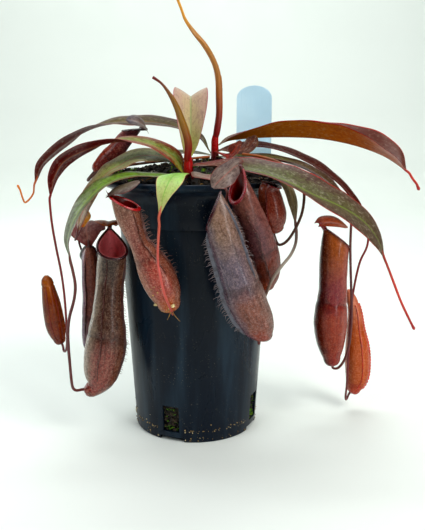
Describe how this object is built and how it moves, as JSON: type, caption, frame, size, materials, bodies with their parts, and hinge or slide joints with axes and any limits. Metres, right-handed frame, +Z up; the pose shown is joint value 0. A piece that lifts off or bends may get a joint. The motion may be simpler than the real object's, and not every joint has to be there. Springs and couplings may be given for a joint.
{
  "type": "potted pitcher plant",
  "caption": "Tropical pitcher plant with hanging pitchers on arching leaves, in a tall tapered black nursery pot with soil and a blank push-in label.",
  "frame": {"origin": "under the middle of the whole plant's outline, on the surface that the pot stands on", "axes": "+Z up, -Y towards the viewer that the mouths of the front pitchers face, +X to the viewer's right"},
  "size_m": [0.2171, 0.1263, 0.2387],
  "materials": {
    "pot_plastic": "semi-gloss black-blue moulded plastic",
    "soil_mix": "rough dark bark mix with moss",
    "label_plastic": "thin pale blue-white plastic, lets light through",
    "stem_red": "waxy red stem",
    "leaf_green": "green leaf, smooth, fine crimson margin",
    "leaf_grey": "grey-mauve leaf with rust underside",
    "leaf_maroon": "dark maroon leaf with green base",
    "leaf_rust": "rust-orange leaf, satin",
    "leaf_young": "pale pink-green young leaf",
    "dry_leaf": "dry brown leaf",
    "tendril": "smooth red-brown tendril",
    "pitcher_skin": "waxy purple-brown pitcher with dark mottling",
    "pitcher_young": "orange closed pitcher, satin",
    "lid": "mauve-grey lid with rust underside"
  },
  "bodies": {
    "root": {"pot": "pot_plastic", "soil": "soil_mix", "plant_label": "label_plastic", "stem_front": "stem_red", "stem_back": "stem_red", "leaf_left_arch": "leaf_green", "leaf_front": "leaf_green", "leaf_right_pale": "leaf_green", "leaf_right_droop": "leaf_green", "leaf_left_top": "leaf_grey", "leaf_left_broad": "leaf_grey", "leaf_right_long": "leaf_grey", "leaf_left_hidden": "leaf_grey", "leaf_left_mid": "leaf_maroon", "leaf_front_small": "leaf_maroon", "leaf_right_back": "leaf_maroon", "leaf_right_top": "leaf_rust", "spear_front": "leaf_rust", "leaf_upright": "leaf_young", "spear_back": "leaf_young", "old_leaf_stub": "dry_leaf", "old_leaf_scrap": "dry_leaf", "tendril_left_top": "tendril", "tendril_bud_left": "tendril", "tendril_back_left": "tendril", "tendril_left_large": "tendril", "tendril_upper_left": "tendril", "tendril_small": "tendril", "tendril_front": "tendril", "tendril_right_large": "tendril", "tendril_centre": "tendril", "tendril_under_right": "tendril", "tendril_right_tall": "tendril", "tendril_right_outer": "tendril", "tendril_right_long": "tendril", "tendril_right_top": "tendril", "pitcher_left_large": "pitcher_skin", "pitcher_back_left": "pitcher_skin", "pitcher_upper_left": "pitcher_skin", "pitcher_front": "pitcher_skin", "pitcher_right_large": "pitcher_skin", "pitcher_centre": "pitcher_skin", "pitcher_under_right": "pitcher_skin", "pitcher_right_tall": "pitcher_skin", "pitcher_right_outer": "pitcher_young", "bud_pitcher_left": "pitcher_young", "bud_small": "pitcher_young", "lid_left_large": "lid", "lid_back_left": "lid", "lid_upper_left": "lid", "lid_front": "lid", "lid_centre": "lid", "lid_right_tall": "lid"}
  },
  "joints": []
}
